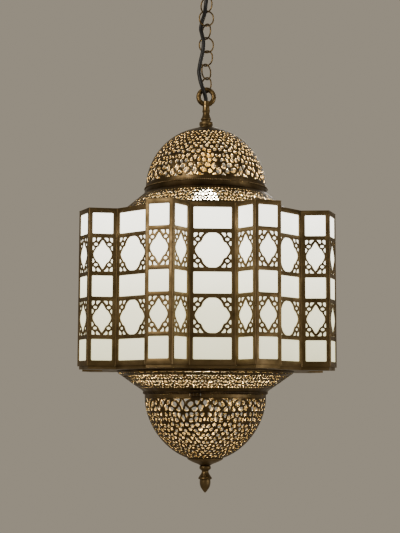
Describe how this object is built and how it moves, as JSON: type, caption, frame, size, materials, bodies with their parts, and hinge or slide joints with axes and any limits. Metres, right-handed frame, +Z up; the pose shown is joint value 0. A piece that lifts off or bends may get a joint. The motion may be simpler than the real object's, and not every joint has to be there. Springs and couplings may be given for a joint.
{
  "type": "hanging lantern",
  "caption": "Large pierced brass hanging lantern with a star-plan panelled body of opal panes, a pierced dome and bowl, and a link chain with its flex and ceiling canopy.",
  "frame": {"origin": "on the ceiling, midway between the bracket's two screw holes, on the lantern's axis", "axes": "+Z up; -Y towards the front wide panel; the bracket's holes lie along X"},
  "size_m": [0.4026, 0.4026, 0.896],
  "materials": {
    "antique_brass": "antiqued, dark olive-brown with worn edges",
    "dark_brass": "antiqued, almost black-brown",
    "chain_brass": "antiqued, satin",
    "lampholder_brass": "satin",
    "steel": "zinc plated, satin",
    "black_flex": "satin black sheath",
    "terminal_plastic": "matt",
    "opal_glass": "white opal, satin",
    "bulb_cap_metal": "satin",
    "bulb_glass": "opal, lit"
  },
  "bodies": {
    "ceiling": {"ceiling_bracket": "steel", "canopy": "antique_brass", "canopy_nut": "antique_brass", "canopy_hook": "chain_brass", "cord_grommet": "black_flex", "terminal_block": "terminal_plastic", "power_cord": "black_flex"},
    "link_1": {"chain_link_1": "chain_brass"},
    "link_2": {"chain_link_2": "chain_brass"},
    "link_3": {"chain_link_3": "chain_brass"},
    "link_4": {"chain_link_4": "chain_brass"},
    "link_5": {"chain_link_5": "chain_brass"},
    "link_6": {"chain_link_6": "chain_brass"},
    "link_7": {"chain_link_7": "chain_brass"},
    "link_8": {"chain_link_8": "chain_brass"},
    "lantern": {"suspension_ring": "chain_brass", "stem": "antique_brass", "stem_collar": "antique_brass", "threaded_tube": "steel", "tube_washer": "steel", "tube_nut": "steel", "dome": "antique_brass", "dome_beading": "antique_brass", "upper_cone": "antique_brass", "top_plate": "antique_brass", "wide_frame_1": "antique_brass", "wide_frame_2": "antique_brass", "wide_frame_3": "antique_brass", "wide_frame_4": "antique_brass", "wide_frame_5": "antique_brass", "wide_frame_6": "antique_brass", "wide_frame_7": "antique_brass", "wide_frame_8": "antique_brass", "bay_frame_1": "antique_brass", "bay_frame_2": "antique_brass", "bay_frame_3": "antique_brass", "bay_frame_4": "antique_brass", "bay_frame_5": "antique_brass", "bay_frame_6": "antique_brass", "bay_frame_7": "antique_brass", "bay_frame_8": "antique_brass", "wide_panes": "opal_glass", "bay_panes": "opal_glass", "bottom_plate": "antique_brass", "lower_cone": "antique_brass", "rope_ring": "dark_brass", "hinge_leaf": "dark_brass", "hinge_pin": "steel", "catch_spring": "dark_brass", "lampholder_cap": "lampholder_brass", "lampholder_sleeve": "lampholder_brass", "bulb_base": "bulb_cap_metal", "bulb_glass": "bulb_glass"},
    "bowl": {"bowl_band": "antique_brass", "bowl": "antique_brass", "bowl_hinge_leaf": "dark_brass", "catch_lug": "dark_brass", "bowl_cap": "antique_brass", "finial": "antique_brass"}
  },
  "joints": [
    {"name": "link_1_swing", "type": "hinge", "parent": "ceiling", "child": "link_1", "pos_m": [0, 0, -0.07165], "axis": [0.7071, -0.7071, 0], "range_deg": [-10, 10], "deforming": ["power_cord"]},
    {"name": "link_2_swing", "type": "hinge", "parent": "link_1", "child": "link_2", "pos_m": [0, 0, -0.0929], "axis": [0.7071, 0.7071, 0], "range_deg": [-10, 10], "deforming": ["power_cord"]},
    {"name": "link_3_swing", "type": "hinge", "parent": "link_2", "child": "link_3", "pos_m": [0, 0, -0.11545], "axis": [0.7314, -0.682, 0], "range_deg": [-10, 10], "deforming": ["power_cord"]},
    {"name": "link_4_swing", "type": "hinge", "parent": "link_3", "child": "link_4", "pos_m": [0, 0, -0.138], "axis": [0.9994, 0.0349, 0], "range_deg": [-10, 10], "deforming": ["power_cord"]},
    {"name": "link_5_swing", "type": "hinge", "parent": "link_4", "child": "link_5", "pos_m": [0, 0, -0.16055], "axis": [0.5299, -0.848, 0], "range_deg": [-10, 10], "deforming": ["power_cord"]},
    {"name": "link_6_swing", "type": "hinge", "parent": "link_5", "child": "link_6", "pos_m": [0, 0, -0.1831], "axis": [0.9986, 0.0523, 0], "range_deg": [-10, 10], "deforming": ["power_cord"]},
    {"name": "link_7_swing", "type": "hinge", "parent": "link_6", "child": "link_7", "pos_m": [0, 0, -0.20565], "axis": [0.829, -0.5592, 0], "range_deg": [-10, 10], "deforming": ["power_cord"]},
    {"name": "link_8_swing", "type": "hinge", "parent": "link_7", "child": "link_8", "pos_m": [0, 0, -0.2282], "axis": [0.6691, 0.7431, 0], "range_deg": [-10, 10], "deforming": ["power_cord"]},
    {"name": "lantern_swing", "type": "hinge", "parent": "link_8", "child": "lantern", "pos_m": [0, 0, -0.25075], "axis": [0.6428, -0.766, 0], "range_deg": [-10, 10], "deforming": ["power_cord"]},
    {"name": "bowl_hinge", "type": "hinge", "parent": "lantern", "child": "bowl", "pos_m": [-0.02127, -0.10006, -0.7425], "axis": [-0.9781, 0.2079, 0], "range_deg": [0, 80], "deforming": ["catch_spring"]}
  ]
}
